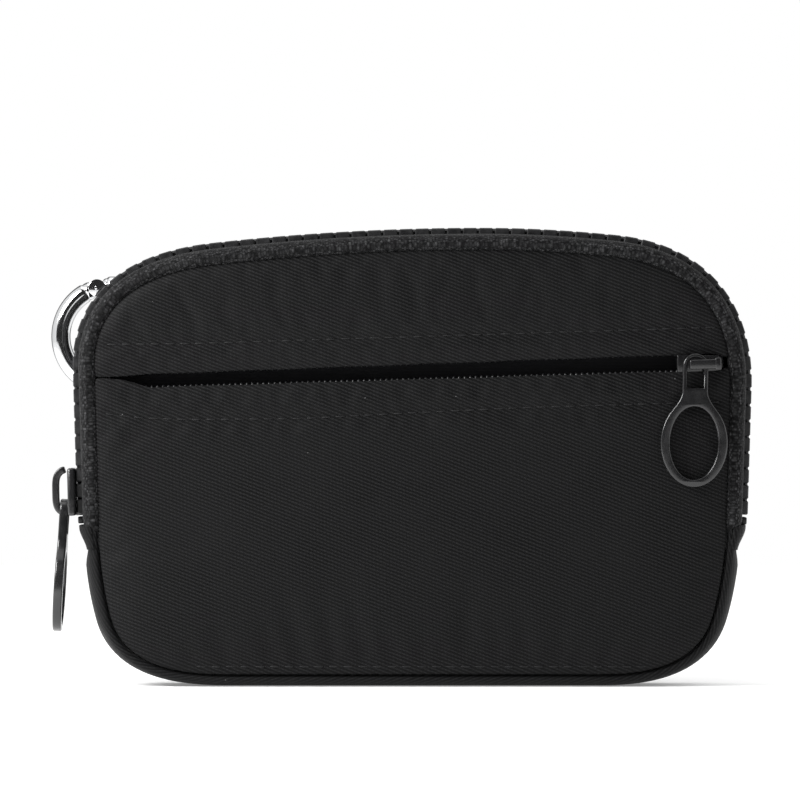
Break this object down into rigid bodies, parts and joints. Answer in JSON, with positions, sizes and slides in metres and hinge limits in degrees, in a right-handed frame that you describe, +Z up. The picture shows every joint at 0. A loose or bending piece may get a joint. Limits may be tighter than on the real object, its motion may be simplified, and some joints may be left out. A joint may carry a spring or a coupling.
{
  "type": "zippered pouch",
  "caption": "Flat black twill pouch with a toothed zip round the top, an open zip pocket across the front, ring pullers and a spring-gate ring at one corner.",
  "frame": {"origin": "middle of the flat bottom gusset, on the surface that the pouch stands on", "axes": "+X to the right seen from the front, +Y from the front to the back, +Z up"},
  "size_m": [0.1418, 0.0302, 0.092],
  "materials": {
    "twill": "dense black nylon twill, low sheen",
    "lining": "plain woven black lining, matt",
    "tape": "coarse woven black tape, matt",
    "moulded_teeth": "moulded black acetal, satin",
    "coil": "black nylon filament, semi-gloss",
    "lacquered_metal": "glossy black lacquer on zinc",
    "chrome": "polished nickel or chrome plate"
  },
  "bodies": {
    "shell": {"back_panel": "twill", "back_lining": "lining", "bottom_gusset": "twill", "zip_end_tab_left": "twill", "zip_end_tab_right": "twill", "back_zip_tape": "tape", "back_zip_teeth": "moulded_teeth", "back_top_stop": "moulded_teeth", "zip_bottom_stop": "moulded_teeth", "pocket_panel_lower": "twill", "front_lining_lower": "lining", "pocket_bag_lower": "lining", "ring_tab": "tape"},
    "front_flap": {"front_upper_panel": "twill", "pocket_panel_upper": "twill", "front_lining_upper": "lining", "pocket_bag_upper": "lining", "front_zip_tape": "tape", "front_zip_teeth": "moulded_teeth", "front_top_stop": "moulded_teeth", "pocket_zip_tape_upper": "tape", "pocket_zip_tape_lower": "tape", "pocket_coil_upper": "coil", "pocket_coil_lower": "coil", "pocket_stop_left": "lacquered_metal", "pocket_stop_right": "lacquered_metal"},
    "main_slider": {"main_slider": "lacquered_metal"},
    "main_puller": {"main_puller": "lacquered_metal"},
    "pocket_slider": {"pocket_slider": "lacquered_metal"},
    "pocket_puller": {"pocket_puller": "lacquered_metal"},
    "ring": {"ring_body": "chrome", "gate_pin": "chrome"},
    "gate": {"ring_gate": "chrome"}
  },
  "joints": [
    {"name": "mouth_open", "type": "hinge", "parent": "shell", "child": "front_flap", "pos_m": [0, -0.009, 0.032], "axis": [1, 0, 0], "range_deg": [0, 60]},
    {"name": "main_slider_travel", "type": "slide", "parent": "shell", "child": "main_slider", "axis": [-0.03, 0, 0.9996], "range_m": [0, 0.018]},
    {"name": "main_puller_swing", "type": "hinge", "parent": "main_slider", "child": "main_puller", "pos_m": [-0.07029, 0, 0.03704], "axis": [0, 1, 0], "range_deg": [0, 130]},
    {"name": "pocket_slider_travel", "type": "slide", "parent": "front_flap", "child": "pocket_slider", "axis": [-0.9996, 0, -0.03], "range_m": [0, 0.105]},
    {"name": "pocket_puller_swing", "type": "hinge", "parent": "pocket_slider", "child": "pocket_puller", "pos_m": [0.0559, -0.0111, 0.06448], "axis": [0, 1, 0], "range_deg": [-25, 85]},
    {"name": "ring_swing", "type": "hinge", "parent": "shell", "child": "ring", "pos_m": [-0.0518, 0.0129, 0.07305], "axis": [0.2588, 0, -0.9659], "range_deg": [0, 100]},
    {"name": "gate_open", "type": "hinge", "parent": "ring", "child": "gate", "pos_m": [-0.06452, 0.0129, 0.08025], "axis": [0, 1, 0], "range_deg": [0, 30], "stiffness_Nm_per_rad": 0.004, "springref_deg": -11.46}
  ]
}
